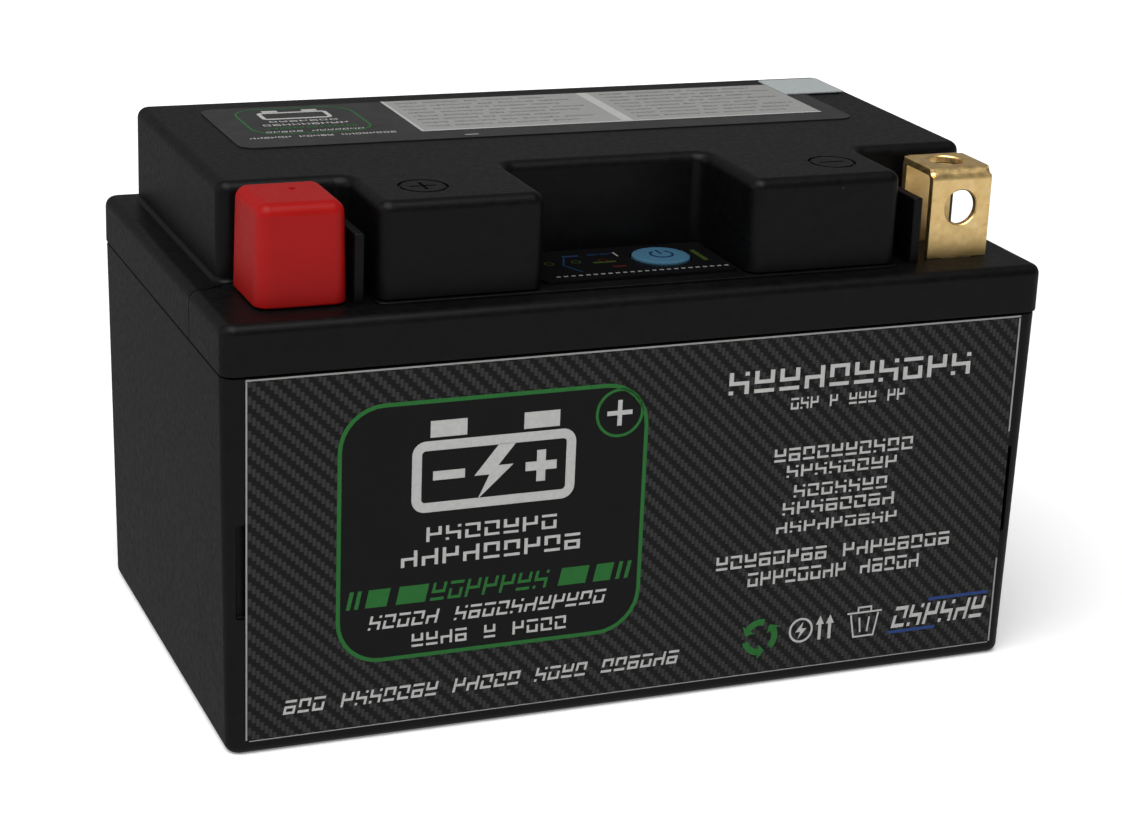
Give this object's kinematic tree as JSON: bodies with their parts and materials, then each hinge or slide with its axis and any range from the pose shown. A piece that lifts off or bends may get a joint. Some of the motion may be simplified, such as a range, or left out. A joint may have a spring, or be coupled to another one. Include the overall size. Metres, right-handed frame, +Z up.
{
  "type": "motorcycle battery",
  "caption": "Sealed lithium motorcycle battery with folded brass strap terminals, a lift-off red terminal cap and a recessed test panel with a push button.",
  "frame": {"origin": "centre of the underside of the battery's overall box, on the plane the battery stands on", "axes": "+X along the length towards the negative terminal's end, -Y out of the front face with the terminals and the test panel, +Z up"},
  "size_m": [0.15, 0.087, 0.093],
  "materials": {
    "black_plastic": "fine satin moulded ABS",
    "brass": "satin, lightly stained",
    "red_vinyl": "satin soft vinyl",
    "label_film": "satin printed film",
    "sticker_film": "satin blank film",
    "panel_film": "gloss printed film",
    "button_film": "satin printed dome",
    "cell_wrap": "shrink film over an aluminium can",
    "nickel": "nickel plate",
    "copper": null,
    "steel": "zinc plate",
    "board": "green circuit board",
    "chip": "moulded epoxy",
    "white_nylon": "plain",
    "foam": null,
    "red_wire": "silicone insulation",
    "black_wire": "silicone insulation",
    "green_lamp": "clear tinted",
    "yellow_lamp": "clear tinted",
    "red_lamp": "clear tinted"
  },
  "bodies": {
    "battery": {"case": "black_plastic", "lid": "black_plastic", "front_ledge": "black_plastic", "negative_terminal": "brass", "positive_terminal": "brass", "front_label": "label_film", "top_label": "label_film", "corner_sticker": "sticker_film", "indicator_film": "panel_film", "bottom_pad": "foam", "front_foam": "foam", "rear_foam": "foam", "left_foam": "foam", "right_foam": "foam", "cell_1": "cell_wrap", "cell_2": "cell_wrap", "cell_3": "cell_wrap", "cell_4": "cell_wrap", "cell_spacer_1": "foam", "cell_spacer_2": "foam", "cell_spacer_3": "foam", "cell_link_1": "nickel", "cell_link_2": "nickel", "cell_link_3": "nickel", "positive_bar": "copper", "positive_screw": "steel", "positive_nut": "steel", "negative_screw": "steel", "negative_nut": "steel", "negative_lug": "nickel", "cell_lug": "nickel", "control_board": "board", "board_screw_1": "steel", "board_screw_2": "steel", "board_screw_3": "steel", "board_screw_4": "steel", "power_switch_1": "chip", "power_switch_2": "chip", "power_switch_3": "chip", "power_switch_4": "chip", "balance_chip": "chip", "balance_plug": "white_nylon", "sense_wire_1": "red_wire", "sense_wire_2": "black_wire", "sense_wire_3": "black_wire", "sense_wire_4": "black_wire", "sense_wire_5": "black_wire", "cell_negative_lead": "black_wire", "output_negative_lead": "black_wire", "indicator_lead": "white_nylon", "indicator_board": "board", "indicator_screw_1": "steel", "indicator_screw_2": "steel", "test_switch": "chip", "lamp_green": "green_lamp", "lamp_yellow": "yellow_lamp", "lamp_red": "red_lamp"},
    "cap": {"terminal_cap": "red_vinyl"},
    "button": {"test_button": "button_film"}
  },
  "joints": [
    {"name": "cap_lift", "type": "slide", "parent": "battery", "child": "cap", "axis": [0, 0, 1], "range_m": [0, 0.03]},
    {"name": "button_press", "type": "slide", "parent": "battery", "child": "button", "axis": [0, 0, -1], "range_m": [0, 0.0004], "stiffness_N_per_m": 1500}
  ]
}
